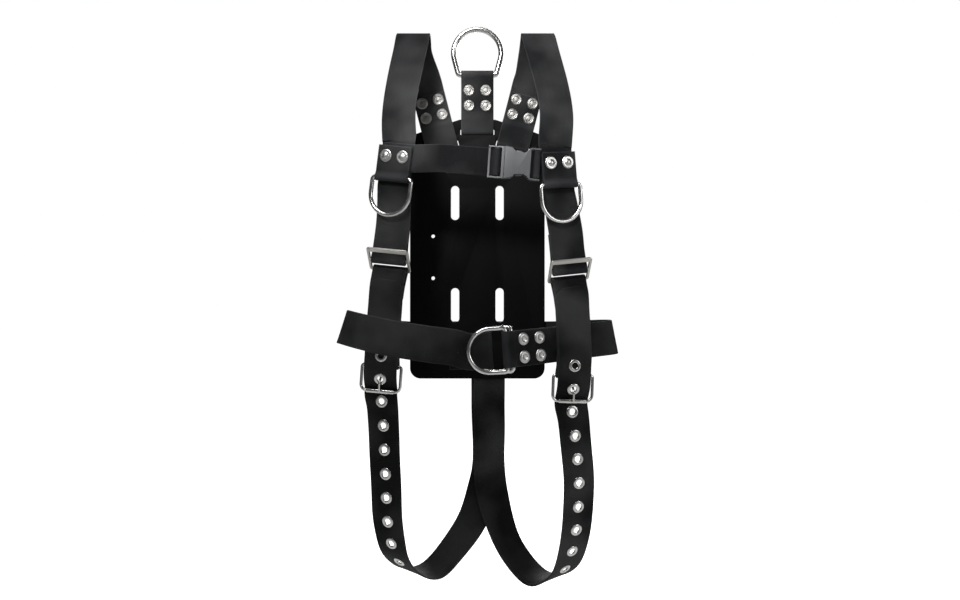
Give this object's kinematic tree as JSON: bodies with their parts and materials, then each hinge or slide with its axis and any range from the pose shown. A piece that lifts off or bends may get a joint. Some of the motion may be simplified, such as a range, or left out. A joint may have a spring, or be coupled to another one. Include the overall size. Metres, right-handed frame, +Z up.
{
  "type": "diver's webbing harness with backplate",
  "caption": "Diver's webbing harness on a rigid slotted backplate, with lift ring, chest and waist rings, side-release chest buckle and leg straps with roller buckles.",
  "frame": {"origin": "the hook's seat: inner face of the lift ring's crown, on the middle plane of the plate", "axes": "+Z up, -Y towards the wearer's chest (the front), +Y the wearer's back, +X to the right seen from the front"},
  "size_m": [0.4034, 0.1759, 0.8298],
  "materials": {
    "webbing": "matte woven",
    "plate": "fine satin",
    "ring_steel": "polished",
    "rivets": "satin nickel",
    "grommets": "bright nickel",
    "buckle_housing": "satin",
    "buckle_tongue": "satin"
  },
  "bodies": {
    "harness": {"back_plate": "plate", "lift_strap": "webbing", "lift_strap_rivets": "rivets", "shoulder_strap_left": "webbing", "shoulder_rivets_left": "rivets", "chest_tab_left": "webbing", "tab_rivets_left": "rivets", "slider_left": "ring_steel", "lower_strap_left": "webbing", "leg_strap_left": "webbing", "leg_grommets_left": "grommets", "shoulder_strap_right": "webbing", "shoulder_rivets_right": "rivets", "chest_tab_right": "webbing", "tab_rivets_right": "rivets", "slider_right": "ring_steel", "lower_strap_right": "webbing", "leg_strap_right": "webbing", "leg_grommets_right": "grommets", "chest_strap_left": "webbing", "chest_strap_right": "webbing", "buckle_housing": "buckle_housing", "waist_belt_left": "webbing", "waist_belt_right": "webbing", "belt_loop_rivets": "rivets", "belt_plate_rivets": "rivets", "waist_ring_rear": "ring_steel"},
    "lift_ring": {"lift_ring": "ring_steel"},
    "chest_ring_left": {"chest_ring_left": "ring_steel"},
    "leg_buckle_left": {"leg_buckle_frame_left": "ring_steel"},
    "leg_prong_left": {"leg_buckle_prong_left": "ring_steel"},
    "leg_roller_left": {"leg_buckle_roller_left": "ring_steel"},
    "chest_ring_right": {"chest_ring_right": "ring_steel"},
    "leg_buckle_right": {"leg_buckle_frame_right": "ring_steel"},
    "leg_prong_right": {"leg_buckle_prong_right": "ring_steel"},
    "leg_roller_right": {"leg_buckle_roller_right": "ring_steel"},
    "waist_ring_front": {"waist_ring_front": "ring_steel"},
    "chest_tongue": {"buckle_tongue": "buckle_tongue", "buckle_prongs": "buckle_tongue"}
  },
  "joints": [
    {"name": "lift_ring_swing", "type": "hinge", "parent": "harness", "child": "lift_ring", "pos_m": [0, 0, -0.065], "axis": [1, 0, 0], "range_deg": [-135, 135]},
    {"name": "chest_ring_left_swing", "type": "hinge", "parent": "harness", "child": "chest_ring_left", "pos_m": [-0.11662, -0.12864, -0.23861], "axis": [0.9305, -0.3387, -0.1392], "range_deg": [-135, 0]},
    {"name": "leg_buckle_left_tilt", "type": "hinge", "parent": "harness", "child": "leg_buckle_left", "pos_m": [-0.1315, -0.121, -0.496], "axis": [0.9824, -0.1732, -0.0698], "range_deg": [-3, 0]},
    {"name": "leg_prong_left_lift", "type": "hinge", "parent": "leg_buckle_left", "child": "leg_prong_left", "pos_m": [-0.1315, -0.121, -0.496], "axis": [0.9824, -0.1732, -0.0698], "range_deg": [-3, 0]},
    {"name": "leg_roller_left_spin", "type": "hinge", "parent": "leg_buckle_left", "child": "leg_roller_left", "pos_m": [-0.13397, -0.12056, -0.53191], "axis": [0.9824, -0.1732, -0.0698], "continuous": true},
    {"name": "chest_ring_right_swing", "type": "hinge", "parent": "harness", "child": "chest_ring_right", "pos_m": [0.11418, -0.12917, -0.24729], "axis": [0.9361, 0.3407, 0.0872], "range_deg": [-135, 0]},
    {"name": "leg_buckle_right_tilt", "type": "hinge", "parent": "harness", "child": "leg_buckle_right", "pos_m": [0.1325, -0.121, -0.5096], "axis": [0.9842, 0.1735, -0.0349], "range_deg": [-3, 0]},
    {"name": "leg_prong_right_lift", "type": "hinge", "parent": "leg_buckle_right", "child": "leg_prong_right", "pos_m": [0.1325, -0.121, -0.5096], "axis": [0.9842, 0.1735, -0.0349], "range_deg": [-3, 0]},
    {"name": "leg_roller_right_spin", "type": "hinge", "parent": "leg_buckle_right", "child": "leg_roller_right", "pos_m": [0.13126, -0.12122, -0.54558], "axis": [0.9842, 0.1735, -0.0349], "continuous": true},
    {"name": "waist_ring_swing", "type": "hinge", "parent": "harness", "child": "waist_ring_front", "pos_m": [0.0395, -0.158, -0.4724], "axis": [-0.0698, 0, 0.9976], "range_deg": [0, 105]},
    {"name": "chest_buckle_release", "type": "slide", "parent": "harness", "child": "chest_tongue", "axis": [-0.9976, 0, 0.0698], "range_m": [0, 0.036], "deforming": ["buckle_prongs", "chest_strap_left"]}
  ]
}
